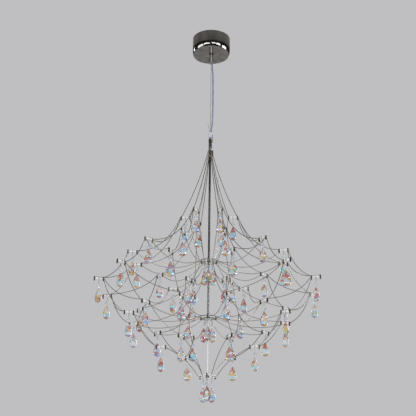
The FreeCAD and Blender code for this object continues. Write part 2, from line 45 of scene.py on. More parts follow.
# Radius and level under the ceiling of each tier of lamps, and the levels of the rings on the rod.
TIERS = {"a": (85, 735), "b": (272, 887), "c": (384, 994), "i": (123, 1002), "d": (276, 1107), "f": (160, 1210)}
RINGS = {"m": 900, "l": 1106, "g": 1314}
RING_RADIUS, RING_WIDTH, RING_TALL = 30.0, 2.4, 3.0
SPOKE_WIDE, SPOKE_TALL, SPOKE_POST, BOSS_RADIUS, BOSS_TALL = 3.0, 4.0, 11.0, 6.3, 6.0
LAMP_LENGTH, LAMP_DIA = 27.0, 8.6
POST_WIDTH, POST_ABOVE, POST_BELOW, POST_EDGE = 4.4, 7.0, 9.0, 0.45
# The wires are round here, and look as heavy as the solids' square ones of 2.2 and 1.8.
WIRE, SWAG, SWAG_SAG, GAP = 2.4, 2.0, 36.0, 0.3
CANOPY_RADIUS, CANOPY_DROP, SKIN, STEM_BORE = 71.0, 70.0, 1.4, 4.3
NECK_RADIUS, NECK_TALL, COLLAR_RADIUS, COLLAR_TALL, MOUTH_RADIUS, SOCKET_RADIUS = 5.5, 4.0, 8.5, 32.0, 3.6, 4.5
SLEEVE_LEVEL, HUB_LEVEL, HUB_TALL, FERRULE_TALL, FERRULE_DIA = 398.0, 421.0, 46.0, 30.0, 14.0
FERRULE_LEVEL = HUB_LEVEL + HUB_TALL
ROD_LEVEL, ROD_RADIUS, FOOT_RADIUS, FOOT_BELOW = FERRULE_LEVEL + FERRULE_TALL, 3.75, 2.0, 4.0
BAIL_DROP, BAIL_WIRE, BAIL_ROOM, BAIL_SPREAD = 20.0, 1.1, 0.6, 2.6
DROP_DIA, DROP_DEPTH, DROP_TALL, CLUSTER_RADIUS = 28.0, 23.0, 54.0, 17.0
SIXES = [60 * k for k in range(6)]
TWELVES = [15 + 30 * k for k in range(12)]
SPOKES = (30, 150, 270)
CORD_ROUTE = [(4.6, 0, -109), (4.6, 0, -128), (8.2, 0.4, -163), (8.2, -0.4, -352), (3.9, 0, -382),
              (3.9, 0, -397.7)]
CABLE_ROUTE = [(0, 0, -105.6), (0, 0, -420.7)]

# ---------------------------------------------------------------- camera, fitted to the lamps of all tiers
FRAME_PX, FOCAL_PX = 416, 1101
PITCH, ROLL, YAW = 0.3842, 0.0125, 0.0013
lens = bpy.data.cameras.new("camera")
lens.sensor_width = 36
lens.lens = lens.sensor_width * FOCAL_PX / FRAME_PX
camera = bpy.data.objects.new("camera", lens)
bpy.context.scene.collection.objects.link(camera)
bpy.context.scene.camera = camera
camera.location = (0, -3.6727, -2.1823)
camera.rotation_mode = "QUATERNION"
aim = Vector((-YAW, math.cos(PITCH), math.sin(PITCH)))
camera.rotation_quaternion = aim.to_track_quat("-Z", "Y") @ Quaternion((0, 0, 1), ROLL)
bpy.context.scene.view_settings.view_transform = "Standard"


# ---------------------------------------------------------------- materials
def material(name, **sockets):
    """A Principled material with these values on its sockets, its node tree and its shader."""
    made = bpy.data.materials.new(name)
    made.use_nodes = True
    shader = made.node_tree.nodes["Principled BSDF"]
    for socket, value in sockets.items():
        shader.inputs[socket.replace("_", " ")].default_value = value
    return made, made.node_tree, shader


def node(tree, kind, **values):
    """A shader node, with each value on the socket of that name, or else on the node's own setting."""
    made = tree.nodes.new("ShaderNode" + kind)
    for key, value in values.items():
        if key in made.inputs:
            made.inputs[key].default_value = value
        else:
            setattr(made, key, value)
    return made


def grey(value):
    return (value, value, value)


def ramp(tree, source, stops, interpolation="LINEAR"):
    """A colour ramp on a 0 to 1 value."""
    made = node(tree, "ValToRGB")
    made.color_ramp.interpolation = interpolation
    while len(made.color_ramp.elements) < len(stops):
        made.color_ramp.elements.new(0.5)
    for element, (position, colour) in zip(made.color_ramp.elements, stops):
        element.position = position
        element.color = (*colour, 1)
    tree.links.new(source, made.inputs[0])
    return made.outputs["Color"]


def place(tree):
    """The object's own coordinates, in metres."""
    return node(tree, "TexCoord").outputs["Object"]


def noise(tree, scale, stretch=(1, 1, 1)):
    """Noise over the object's own coordinates, stretched per axis."""
    mapped = node(tree, "Mapping", Scale=stretch)
    made = node(tree, "TexNoise", Scale=scale, Detail=4.0)
    tree.links.new(place(tree), mapped.inputs["Vector"])
    tree.links.new(mapped.outputs["Vector"], made.inputs["Vector"])
    return made.outputs[0]


def bump(tree, shader, height, distance):
    made = node(tree, "Bump", Strength=0.3, Distance=distance)
    tree.links.new(height, made.inputs["Height"])
    tree.links.new(made.outputs["Normal"], shader.inputs["Normal"])


def metal(name, dark, light, rough, scale=60, stretch=(1, 1, 1), relief=0.00005):
    """A plated metal whose tone and polish wander a little over its surface."""
    made, tree, shader = material(name, Metallic=1.0)
    wander = noise(tree, scale, stretch)
    tree.links.new(ramp(tree, wander, [(0.3, dark), (0.7, light)]), shader.inputs["Base Color"])
    polish = ramp(tree, noise(tree, scale * 2, stretch), [(0.3, grey(rough[0])), (0.7, grey(rough[1]))])
    tree.links.new(polish, shader.inputs["Roughness"])
    if relief:
        bump(tree, shader, wander, relief)
    return made


def plastic(name, dark, light, rough):
    """A moulded plastic with a fine grain."""
    made, tree, shader = material(name, Roughness=rough)
    grain = noise(tree, 400)
    tree.links.new(ramp(tree, grain, [(0.35, dark), (0.65, light)]), shader.inputs["Base Color"])
    bump(tree, shader, grain, 0.0001)
    return made


# Colours of the coating by zone of a stone: shoulder, belt and tip of a drop, then the beads, a quarter each.
AURORA = [(0.000, (0.88, 0.68, 0.52)), (0.064, (0.62, 0.19, 0.19)), (0.098, (0.86, 0.78, 0.70)),
          (0.150, (0.44, 0.60, 0.94)), (0.170, (0.52, 0.13, 0.08)), (0.192, (0.90, 0.92, 0.95)),
          (0.250, (0.48, 0.91, 0.97)), (0.303, (0.94, 0.95, 0.97)), (0.350, (0.38, 0.60, 0.97)),
          (0.390, (0.94, 0.95, 0.97)), (0.437, (0.60, 0.13, 0.13)), (0.468, (0.90, 0.58, 0.18)),
          (0.500, (0.72, 0.36, 0.08)), (0.560, (0.24, 0.30, 0.82)),
          (0.610, (0.50, 0.08, 0.08)), (0.655, (0.64, 0.86, 0.97)), (0.695, (0.38, 0.22, 0.60)),
          (0.725, (0.86, 0.66, 0.28)), (0.750, (0.80, 0.90, 0.96)), (0.815, (0.92, 0.92, 0.94)),
          (0.890, (0.66, 0.76, 0.95)), (0.940, (0.88, 0.66, 0.44)), (0.970, (0.50, 0.76, 0.96))]
SHOULDER, BELT, TIP, PALE = range(4)
ZONES = 4


def crystal():
    """Cut glass with a rainbow coating of 420 nm: each facet passes and throws back a colour of its own."""
    made, tree, shader = material("crystal", Roughness=0.06, IOR=1.50, Transmission_Weight=0.86,
                                  Thin_Film_Thickness=420, Thin_Film_IOR=1.6)
    facet = node(tree, "Attribute", attribute_name="facet")
    tree.links.new(ramp(tree, facet.outputs["Fac"], AURORA, "CONSTANT"), shader.inputs["Base Color"])
    return made


def frosted(name, scale, dark, light, **sockets):
    """A pale material whose tone changes a little from place to place."""
    made, tree, shader = material(name, **sockets)
    tree.links.new(ramp(tree, noise(tree, scale), [(0.3, dark), (0.7, light)]), shader.inputs["Base Color"])
    return made


def banded(name, scale, stops, distortion=0.0, **sockets):
    """A line whose strands or conductors turn slowly round each other."""
    made, tree, shader = material(name, **sockets)
    wave = node(tree, "TexWave", Scale=scale, Distortion=distortion, bands_direction="DIAGONAL")
    tree.links.new(place(tree), wave.inputs["Vector"])
    tree.links.new(ramp(tree, wave.outputs["Fac"], stops), shader.inputs["Base Color"])
    return made


def rod_painted_shade_and_sheen():
    """Nickel whose tone is painted by height: painted shade makes it near black at the top, and painted sheen makes
    it pale at its low end.
    """
    made, tree, shader = material("rod_painted_shade_and_sheen", Metallic=1.0)
    height = node(tree, "SeparateXYZ")
    tree.links.new(place(tree), height.inputs[0])
    rise = node(tree, "MapRange", **{"From Min": -RINGS["l"] * MM, "From Max": -ROD_LEVEL * MM})
    tree.links.new(height.outputs["Z"], rise.inputs["Value"])
    # Painted shade toward the top of the rod, painted sheen toward its low end.
    tones = ((0.0, 0.85), (0.28, 0.78), (0.36, 0.36), (0.44, 0.20), (0.68, 0.15), (0.84, 0.03), (1.0, 0.03))
    stops = [(at, (tone, tone * 0.98, tone * 0.94)) for at, tone in tones]
    tree.links.new(ramp(tree, rise.outputs[0], stops), shader.inputs["Base Color"])
    polish = ramp(tree, noise(tree, 14), [(0.3, grey(0.24)), (0.7, grey(0.32))])
    tree.links.new(polish, shader.inputs["Roughness"])
    return made


ALONG = (1, 1, 0.3)
CHROME = metal("polished_chrome", (0.16, 0.149, 0.136), (0.28, 0.262, 0.238), (0.03, 0.08), 42, ALONG, 0)
SATIN = metal("satin_nickel", (0.62, 0.61, 0.59), (0.84, 0.83, 0.81), (0.24, 0.36), 50)
BRIGHT = metal("bright_nickel", (0.45, 0.44, 0.42), (0.70, 0.69, 0.66), (0.05, 0.12))
NICKEL = metal("nickel_wire", (0.26, 0.232, 0.182), (0.48, 0.438, 0.355), (0.20, 0.32), 18, relief=0)
DARK = metal("dark_nickel", (0.18, 0.150, 0.095), (0.42, 0.364, 0.250), (0.18, 0.32), 90)
BLACKENED = metal("blackened_nickel", (0.09, 0.087, 0.083), (0.18, 0.175, 0.168), (0.22, 0.30), 30, ALONG, 0)
ZINC = metal("galvanised_steel", (0.42, 0.43, 0.44), (0.62, 0.62, 0.62), (0.3, 0.5), 140)
BLACK = plastic("black_plastic", (0.018, 0.018, 0.019), (0.05, 0.05, 0.052), 0.42)
WHITE = plastic("white_plastic", (0.52, 0.50, 0.61), (0.66, 0.64, 0.75), 0.3)
CRYSTAL = crystal()
LAMP_GLASS = frosted("lamp_glass", 900, (0.90, 0.89, 0.90), (0.98, 0.97, 0.98), Roughness=0.22, IOR=1.45,
                     Transmission_Weight=0.08)
# Painted sheen: a pale colour given to the lamps' metal caps, the rod's foot and the bottom ring so that they look
# lit.
PAINTED_SHEEN = frosted("pale_painted_sheen", 120, (0.88, 0.87, 0.86), (0.97, 0.96, 0.96), Roughness=0.28)
CORD = banded("clear_cord", 14.0, [(0.2, (0.18, 0.21, 0.35)), (0.8, (0.26, 0.30, 0.44))], 0.6, Roughness=0.25,
              IOR=1.46, Transmission_Weight=0.15)
STRAND = banded("strand_steel", 260.0, [(0.1, (0.28, 0.27, 0.25)), (0.9, (0.46, 0.45, 0.41))], Metallic=1.0,
                Roughness=0.45)
ROD = rod_painted_shade_and_sheen()


# ---------------------------------------------------------------- pieces
def polar(radius, azimuth, z):
    a = math.radians(azimuth)
    return Vector((radius * math.cos(a), radius * math.sin(a), z))


def piece(name, shapes, body, nodes, materials):
    """One object for these CAD nodes, of shapes: (points in mm, faces, material number, smooth, zones if cut)."""
    points, faces, numbers, smooth, facets = [], [], [], [], []
    for shape_points, shape_faces, number, soft, *zones in shapes:
        first = len(points)
        points += [p * MM for p in shape_points]
        faces += [[first + i for i in face] for face in shape_faces]
        numbers += [number] * len(shape_faces)
        smooth += [soft] * len(shape_faces)
        shades = [random.random() for face in shape_faces]
        # Three neighbouring facets share a shade.
        facets += [(zone + shades[k // 3]) / ZONES
                   for k, zone in enumerate(zones[0] if zones else [BELT] * len(shape_faces))]
    mesh = bpy.data.meshes.new(name)
    mesh.from_pydata(points, [], faces)
    for made in materials:
        mesh.materials.append(made)
    mesh.polygons.foreach_set("material_index", numbers)
    mesh.polygons.foreach_set("use_smooth", smooth)
    if CRYSTAL in materials:
        mesh.attributes.new("facet", "FLOAT", "FACE").data.foreach_set("value", facets)
    mesh.set_sharp_from_angle(angle=math.radians(35))
    made = bpy.data.objects.new(name, mesh)
    bpy.context.scene.collection.objects.link(made)
    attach(made, body)
    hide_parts(*nodes)


def moved(shape, where, azimuth):
    """The shape turned about the Z axis, then shifted."""
    turn = Quaternion((0, 0, 1), math.radians(azimuth))
    return ([turn @ p + where for p in shape[0]], *shape[1:])


def profile(top, *steps):
    """The (radius, z) profile of a turned shape, from its steps: (radius, how far below the top)."""
    return [(radius, top - down) for radius, down in steps]


def flipped(rows):
    """A profile turned upside down about z = 0."""
    return [(radius, -z) for radius, z in reversed(rows)]


def closed_band(rows):
    """The closed profile of a ring about z = 0, from the rows of its upper half."""
    return [*rows, *flipped(rows), rows[0]]


def lathe(rows, sides, number=0):
    """A smooth turned shape about the Z axis from its (radius, z) profile, top first; radius 0 closes an end."""
    points, rings = [], []
    for radius, z in rows:
        if radius == 0:
            rings.append([len(points)] * sides)
            points.append(Vector((0, 0, z)))
        else:
            rings.append(list(range(len(points), len(points) + sides)))
            points += [polar(radius, 360 * j / sides, z) for j in range(sides)]
    faces = []
    for upper, lower in zip(rings, rings[1:]):
        for j in range(sides):
            n = (j + 1) % sides
            faces.append(list(dict.fromkeys((upper[j], lower[j], lower[n], upper[n]))))
    return points, faces, number, True


def tube(path, diameter, across, sides=8, number=0, closed=False):
    """A round wire along a path that lies in one plane, square to across."""
    points, faces = [], []
    count = len(path)
    for i, p in enumerate(path):
        before = path[i - 1] if i or closed else p
        after = path[(i + 1) % count] if i + 1 < count or closed else p
        along = (after - before).normalized()
        side = across.cross(along).normalized()
        for j in range(sides):
            a = 2 * math.pi * j / sides
            points.append(p + (side * math.cos(a) + across * math.sin(a)) * (diameter / 2))
    for i in range(count if closed else count - 1):
        for j in range(sides):
            n = (j + 1) % sides
            k = (i + 1) % count
            faces.append((i * sides + j, k * sides + j, k * sides + n, i * sides + n))
    if not closed:
        faces.append(tuple(range(sides)))
        faces.append(tuple(reversed(range((count - 1) * sides, count * sides))))
    return points, faces, number, True


def block(wide, deep, low, high, edge, number=0):
    """An upright post with chamfered edges, centred on the Z axis: four levels of eight corners."""
    points, faces = [], []
    for z, inset in ((low, edge), (low + edge, 0), (high - edge, 0), (high, edge)):
        x, y = wide / 2 - inset, deep / 2 - inset
        c = edge / 2
        points += [Vector(p) for p in ((x, -y + c, z), (x, y - c, z), (x - c, y, z), (-x + c, y, z),
                                       (-x, y - c, z), (-x, -y + c, z), (-x + c, -y, z), (x - c, -y, z))]
    for k in range(3):
        for j in range(8):
            n = (j + 1) % 8
            faces.append((k * 8 + j, k * 8 + n, k * 8 + 8 + n, k * 8 + 8 + j))
    faces.append(tuple(reversed(range(8))))
    faces.append(tuple(range(24, 32)))
    return points, faces, number, False


# ---------------------------------------------------------------- cords, first of all the pieces
def line_piece(name, route, diameter, made_of):
    """A round line through the fixture along its route in mm."""
    curve = bpy.data.curves.new(name, "CURVE")
    curve.dimensions = "3D"
    curve.bevel_depth = diameter / 2 * MM
    curve.bevel_resolution = 4
    curve.use_fill_caps = True
    curve.materials.append(made_of)
    spline = curve.splines.new("NURBS")
    spline.points.add(len(route) - 1)
    for point, where in zip(spline.points, route):
        point.co = (*(c * MM for c in where), 1)
    spline.use_endpoint_u = True
    spline.order_u = min(3, len(route))
    made = bpy.data.objects.new(name, curve)
    bpy.context.scene.collection.objects.link(made)
    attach(made, "fixture")
    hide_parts(name.removesuffix("_line"))


line_piece("power_cord_line", CORD_ROUTE, 5.0, CORD)
line_piece("suspension_cable_line", CABLE_ROUTE, 1.5, STRAND)

# ---------------------------------------------------------------- canopy, gripper, sleeve, hub and rod
# The canopy's wall draws in by a parabola over its taper, then turns under by a round edge.
TAPER_TALL, TAPER_DEEP, EDGE, WELL_RADIUS, WELL_DROP = 24.0, 2.0, 4.0, 63.0, 54.0
inside, flat = CANOPY_RADIUS - SKIN, SKIN - CANOPY_DROP
taper = [(CANOPY_RADIUS - TAPER_DEEP * t ** 2, EDGE + TAPER_TALL * (1 - t) - CANOPY_DROP)
         for t in (0, 0.25, 0.5, 0.75, 1)]
curl = [(CANOPY_RADIUS - TAPER_DEEP - EDGE * (1 - math.cos(math.radians(a))),
         EDGE * (1 - math.sin(math.radians(a))) - CANOPY_DROP) for a in (15, 30, 45, 60, 75, 90)]
drum = [(inside, 0), (CANOPY_RADIUS - 0.4, 0), (CANOPY_RADIUS, -0.6), (CANOPY_RADIUS, -2), *taper, *curl,
        (CANOPY_RADIUS - TAPER_DEEP - EDGE - 0.8, -CANOPY_DROP), (STEM_BORE, -CANOPY_DROP), (STEM_BORE, flat),
        (WELL_RADIUS, flat), (inside, -WELL_DROP), (inside, 0)]
piece("canopy", [lathe(drum, 96)], "canopy", ["canopy_drum"], [CHROME])

# Steps down the gripper: its neck, its eased collar, the mouth under the ball and the socket above it.
mouth = NECK_TALL + COLLAR_TALL
collar = profile(-CANOPY_DROP - GAP, (STEM_BORE, 0), (NECK_RADIUS, 0), (NECK_RADIUS, NECK_TALL),
                 (COLLAR_RADIUS - 0.4, NECK_TALL), (COLLAR_RADIUS, NECK_TALL + 0.4),
                 (COLLAR_RADIUS, NECK_TALL + 1.7), (COLLAR_RADIUS, mouth - 1.7), (COLLAR_RADIUS, mouth - 0.4),
                 (COLLAR_RADIUS - 0.4, mouth), (MOUTH_RADIUS, mouth), (MOUTH_RADIUS, mouth - 4),
                 (SOCKET_RADIUS, mouth - 4), (SOCKET_RADIUS, mouth - 12.6), (STEM_BORE, mouth - 12.6),
                 (STEM_BORE, 0))
piece("gripper", [lathe(collar, 48)], "canopy", ["cable_gripper"], [BRIGHT])

rod_tall = RINGS["l"] - ROD_LEVEL - GAP
foot_tall = RINGS["g"] + FOOT_BELOW - RINGS["l"] - GAP
TURNED = {
    "hub": (profile(-HUB_LEVEL, (0, 0), (4.6, 0), (6, 1.6), (6, 19), (5.4, 20), (5.4, 22), (6, 23),
                    (6, HUB_TALL - 1.4), (5, HUB_TALL), (0, HUB_TALL)),
            "hub_barrel", BLACKENED, "polished_chrome"),
    "ferrule": (profile(-FERRULE_LEVEL - GAP, (0, 0), (6, 0), (7, 1.3), (7, 12.7), (6.3, 13.7), (6.3, 15.7),
                        (7, 16.7), (7, FERRULE_TALL - 1.7), (5.6, FERRULE_TALL - GAP), (0, FERRULE_TALL - GAP)),
                "wire_ferrule", CHROME, "polished_chrome"),
    # The rod's tone is painted: painted shade at the top, painted sheen at the low end.
    "rod": (profile(-ROD_LEVEL - GAP, (0, 0), (ROD_RADIUS, 0), (ROD_RADIUS, rod_tall), (0, rod_tall)),
            "center_rod", ROD, "dark_nickel"),
    # The rod's foot is pale with painted sheen.
    "rod_end": (profile(-RINGS["l"] - GAP, (0, 0), (FOOT_RADIUS, 0), (FOOT_RADIUS, foot_tall - 1.6),
                        (FOOT_RADIUS - 0.6, foot_tall), (0, foot_tall)),
                "rod_foot", PAINTED_SHEEN, "polished_chrome"),
}
for name, (rows, cad_node, made_of, slot) in TURNED.items():
    piece(name, [lathe(rows, 24)], "fixture", [cad_node], [made_of])

sleeve = profile(-SLEEVE_LEVEL, (1.05, 0), (5.2, 0), (6.5, 1.6), (6.5, 17), (5.6, 20), (1.05, 20), (1.05, 0))
piece("sleeve", [lathe(sleeve, 32)], "fixture", ["cable_sleeve"], [WHITE])


# ---------------------------------------------------------------- lamps and their posts
def lamp_shapes():
    """A tubular lamp along X: frosted glass with a cap on each end, made bright by painted sheen."""
    half, radius = LAMP_LENGTH / 2 - GAP, LAMP_DIA / 2
    glass = profile(half, (0, 4.0), (2.2, 4.0), (radius - 0.5, 5.2), (radius - 0.2, 7))
    cap = profile(half, (0, 0), (1.4, 0), (1.8, 0.5), (2.2, 2.2), (3.4, 3.2), (3.7, 5.4), (0, 5.4))
    lying = Quaternion((0, 1, 0), math.radians(90))
    shapes = [lathe(glass + flipped(glass), 16, 0), lathe(cap, 16, 1), lathe(flipped(cap), 16, 1)]
    return [([lying @ p for p in points], *rest) for points, *rest in shapes]


def post_shapes():
    """The pair of posts of a lamp: each a chamfered block with a screw head on its top."""
    head_radius, head_tall, sunk = 1.8, 1.2, 0.1
    shapes = []
    for side in (-1, 1):
        middle = Vector((side * (LAMP_LENGTH + POST_WIDTH) / 2, 0, 0))
        body = block(POST_WIDTH, POST_WIDTH, -POST_BELOW, POST_ABOVE - head_tall, POST_EDGE)
        head = lathe(profile(POST_ABOVE, (0, 0), (head_radius - 0.5, 0), (head_radius, 0.4),
                             (head_radius, head_tall + sunk)), 10)
        shapes += [([p + middle for p in points], *rest) for points, *rest in (body, head)]
    return shapes


def at_lamps(shapes, tier, azimuths):
    """The shapes once at each of these lamps of a tier, with X pointing outward."""
    radius, level = TIERS[tier]
    return [moved(shape, polar(radius, az + TURN, -level), az + TURN) for az in azimuths for shape in shapes]


NAMES = {"a": "crown", "b": "shoulder", "c": "widest", "i": "inner", "d": "lower", "f": "basket"}
LAMPS = {"a": SIXES, "b": TWELVES, "c": TWELVES, "i": SIXES, "d": TWELVES, "f": SIXES}
lamp, posts = lamp_shapes(), post_shapes()
for tier, azimuths in LAMPS.items():
    piece("lamp_set_" + NAMES[tier], at_lamps(lamp, tier, azimuths), "fixture", ["lamps_" + NAMES[tier]],
          [LAMP_GLASS, PAINTED_SHEEN])
for label, group in (("upper", "abc"), ("lower", "idf")):
    shapes = [shape for tier in group for shape in at_lamps(posts, tier, LAMPS[tier])]
    piece("post_set_" + label, shapes, "fixture", ["lamp_posts_" + label], [DARK])


# ---------------------------------------------------------------- crystals
def stone(rings, bands):
    """A cut stone from its (z, half width, half depth) rings, with the zone of each band of facets between them."""
    sides = 8
    points, rows = [], []
    for k, (z, wide, deep) in enumerate(rings):
        if wide == 0:
            rows.append([len(points)] * sides)
            points.append(Vector((0, 0, z)))
            continue
        rows.append([])
        for j in range(sides):
            a = 2 * math.pi * (j + 0.5 * (k % 2)) / sides
            rows[-1].append(len(points))
            points.append(Vector((deep * math.cos(a), wide * math.sin(a), z)))
    faces, zones = [], []
    for k, (upper, lower) in enumerate(zip(rows, rows[1:])):
        for j in range(sides):
            n = (j + 1) % sides
            if k % 2 == 0:
                pair = ((upper[j], lower[j], upper[n]), (upper[n], lower[j], lower[n]))
            else:
                pair = ((upper[j], lower[j], lower[n]), (upper[j], lower[n], upper[n]))
            faces += [face for face in pair if len(set(face)) == 3]
        zones += [bands[k]] * (len(faces) - len(zones))
    return points, faces, 0, False, zones


# Rings of a bead in mm, and of a drop as shares of its height and width.
BEAD = ((0, 0), (2.2, 3.6), (7, 7), (11.8, 3.6), (14, 0))
DROP = ((0, 0), (0.11, 0.28), (0.32, 0.70), (0.51, 0.95), (0.68, 1.0), (0.87, 0.82), (1.0, 0))
DROP_BANDS = (SHOULDER, SHOULDER, SHOULDER, BELT, BELT, TIP)
BEAD_TALL = BEAD[-1][0]


def pendant_shapes(bar_top, bar_half):
    """A wire bail over a bar along X, a cut bead and a pear drop under it, and the pins that link them."""
    top = bar_top + GAP + BAIL_WIRE / 2
    half = bar_half + BAIL_ROOM + BAIL_SPREAD
    corners = [Vector((0, -half, top)), Vector((0, half, top)), Vector((0, 0, -BAIL_DROP + BAIL_WIRE))]
    turn_in = 1.6
    path = []
    for k, corner in enumerate(corners):
        back, ahead = (corners[k - 1] - corner).normalized(), (corners[(k + 1) % 3] - corner).normalized()
        path += [corner + back * turn_in, corner + (back + ahead) * 0.5, corner + ahead * turn_in]
    bail = tube(path, BAIL_WIRE, Vector((1, 0, 0)), 6, 1, closed=True)
    bead_top = -BAIL_DROP - GAP
    bead = stone([(bead_top - down, wide, wide) for down, wide in BEAD], (PALE,) * 4)
    drop_top = bead_top - BEAD_TALL - GAP
    drop = stone([(drop_top - DROP_TALL * down, DROP_DIA / 2 * wide, DROP_DEPTH / 2 * wide) for down, wide in DROP],
                 DROP_BANDS)
    # Each pin is sunk into the stones it joins.
    pins = [lathe([(0.45, upper), (0.45, lower)], 6, 1)
            for upper, lower in ((bead_top + 1.2, bead_top - 1.2), (bead_top - BEAD_TALL + 1, drop_top - 2.4))]
    return [bead, drop, bail, *pins]


lamp_pendant = pendant_shapes(LAMP_DIA / 2, LAMP_DIA / 2)
spoke_pendant = pendant_shapes(SPOKE_TALL / 2, SPOKE_WIDE / 2)
JEWEL = [CRYSTAL, BRIGHT]
for tier in "abidf":
    piece("drops_" + NAMES[tier], at_lamps(lamp_pendant, tier, LAMPS[tier]), "fixture",
          ["crystals_" + NAMES[tier]], JEWEL)
for number, az in enumerate(TWELVES, start=1):
    piece("drop_%02d" % number, at_lamps(lamp_pendant, "c", [az]), "pendant_%02d_swing" % number,
          ["pendant_%02d" % number], JEWEL)
for ring, name in (("m", "middle"), ("l", "low"), ("g", "finial")):
    shapes = [moved(shape, polar(CLUSTER_RADIUS, az + TURN, -RINGS[ring]), az + TURN)
              for az in SPOKES for shape in spoke_pendant]
    piece("drops_" + name, shapes, "fixture", ["cluster_" + name], JEWEL)


# ---------------------------------------------------------------- spiders
def spider_shapes(level, bore):
    """A thin ring on three spokes with a post at each end, and a boss round the rod."""
    half, edge = RING_TALL / 2, 0.5
    outer, inner = RING_RADIUS + RING_WIDTH / 2 - 0.3, RING_RADIUS - RING_WIDTH / 2
    band = closed_band([(inner, half - edge), (inner + edge, half), (outer - edge, half), (outer, half - edge)])
    boss = closed_band([(bore, BOSS_TALL / 2), (BOSS_RADIUS - 0.6, BOSS_TALL / 2),
                        (BOSS_RADIUS, BOSS_TALL / 2 - 0.6)])
    spoke = block(RING_RADIUS - 5, SPOKE_WIDE, -SPOKE_TALL / 2, SPOKE_TALL / 2, 0.4, 1)
    post = block(POST_WIDTH, POST_WIDTH, -SPOKE_POST / 2, SPOKE_POST / 2, POST_EDGE)
    shapes = [moved(shape, Vector((0, 0, -level)), 0) for shape in (lathe(band, 48, 1), lathe(boss, 24))]
    for az in SPOKES:
        shapes.append(moved(spoke, polar((RING_RADIUS + 4) / 2, az + TURN, -level), az + TURN))
        shapes.append(moved(post, polar(RING_RADIUS, az + TURN, -level), az + TURN))
    return shapes


# The bottom ring's band and spokes are pale with painted sheen; those of the other two rings are satin nickel.
for ring, name, bore in (("m", "middle", 4.05), ("l", "lower", 4.05), ("g", "bottom", 2.3)):
    piece(name + "_ring", spider_shapes(RINGS[ring], bore), "fixture", [name + "_spider"],
          [DARK, PAINTED_SHEEN if ring == "g" else SATIN])


# ---------------------------------------------------------------- wires
# A seat is a point on the axis of what holds the wire, its azimuth, and how far its faces are from that axis.
def post_seat(tier, azimuth, side, height):
    """On the outer (1) or inner (-1) post of a lamp, this high over the lamp's axis."""
    radius, level = TIERS[tier]
    turned = azimuth + TURN
    return polar(radius + side * (LAMP_LENGTH + POST_WIDTH) / 2, turned, height - level), turned, POST_WIDTH / 2


def ring_seat(ring, azimuth, height):
    """Just inside the outer edge of a ring on the rod, this high over its middle."""
    turned = azimuth + TURN
    return polar(RING_RADIUS + RING_WIDTH / 2 - 0.5, turned, height - RINGS[ring]), turned, 0.0


def ferrule_seat(azimuth, depth):
    """On the ferrule's face, this far below its top."""
    turned = azimuth + TURN
    return polar(FERRULE_DIA / 2, turned, -FERRULE_LEVEL - depth), turned, 0.0


def stand_off(seat, heading):
    """How far from the seat's axis a wire's middle line starts: just under the face it is held by."""
    u = polar(1, seat[1], 0)
    return max(0.0, seat[2] * (abs(heading.dot(u)) + heading.cross(u).length) - 0.5)


def wire(upper, lower, bend, gauge, sag=None):
    """A wire in one upright plane between its seats, bent toward a point at these shares of its run and fall."""
    flat = Vector((lower[0].x - upper[0].x, lower[0].y - upper[0].y, 0))
    heading = flat.normalized()
    across = heading.cross(Vector((0, 0, 1)))
    z0, z1 = upper[0].z, lower[0].z
    middle_z = z0 + bend[1] * (z1 - z0) if sag is None else min(z0, z1) - 2 * sag
    first = upper[0] + heading * stand_off(upper, heading)
    last = lower[0] - heading * stand_off(lower, heading)
    length = Vector((last.x - first.x, last.y - first.y, 0)).length
    control = Vector((first.x, first.y, middle_z)) + heading * (bend[0] * length)
    steps = 24
    path = []
    for k in range(steps + 1):
        t = k / steps
        path.append(first * (1 - t) ** 2 + control * (2 * t * (1 - t)) + last * t ** 2)
    return tube(path, gauge, across)


def frontward(azimuth, step):
    """The step turned toward the front on the left and right flanks, or nothing at the front itself."""
    azimuth %= 360
    if 240 <= azimuth <= 300:
        return None
    return step if 90 <= azimuth < 240 else -step


def flank_wires(upper, lower, side, height, end, flank_height, flank_end, bend):
    """From each lamp of a tier a wire to the lamp below, and on the flanks a second one to that lamp's neighbour.

    An end is (side, height) on the lower tier's lamp.
    """
    made = []
    for az in TWELVES:
        made.append(wire(post_seat(upper, az, side, height), post_seat(lower, az, *end), bend, WIRE))
        step = frontward(az, 30)
        if step:
            made.append(wire(post_seat(upper, az, side, flank_height), post_seat(lower, az + step, *flank_end),
                             bend, WIRE))
    return made


hub, bell, inner, cross = [], [], [], []
for az in SIXES:
    hub.append(wire(ferrule_seat(az, 4), post_seat("a", az, 1, 5.2), (0.33, 0.52), WIRE))
    hub.append(wire(ferrule_seat(az, 20), post_seat("a", az, -1, 5.2), (0.33, 0.52), WIRE))
    for rank, step in enumerate((15, -15)):
        bell.append(wire(post_seat("a", az, 1, 2.4 - 2.6 * rank), post_seat("b", az + step, -1, 4.6),
                         (0.35, 0.9), WIRE))
    flank = frontward(az, 45)
    if flank:
        bell.append(wire(post_seat("a", az, 1, -3.4), post_seat("b", az + flank, -1, 1.6), (0.35, 0.9), WIRE))
    inner.append(wire(post_seat("a", az, -1, -4.6), ring_seat("m", az, 1.8), (0.25, 0.6), SWAG))
    inner.append(wire(ring_seat("m", az, -1.8), post_seat("i", az, -1, 4.6), (0.2, 0.8), SWAG))
    step = flank or (15 if az == 240 else -15)
    cross.append(wire(post_seat("i", az, 1, 2.0), post_seat("d", az + step, -1, 4.6), (0.25, 0.85), SWAG))

# Each lamp of the basket takes the wires of the two lower lamps beside it.
basket = []
for az in TWELVES:
    step = -15 if (az // 15) % 4 == 1 else 15
    basket.append(wire(post_seat("d", az, -1, -4.0), post_seat("f", az + step, 1, 4.6 if step > 0 else 1.8),
                       (0.4, 0.7), WIRE))
basket += [wire(post_seat("f", az, -1, -3.0), ring_seat("g", az, 0), (0.65, 0.35), WIRE) for az in SIXES]

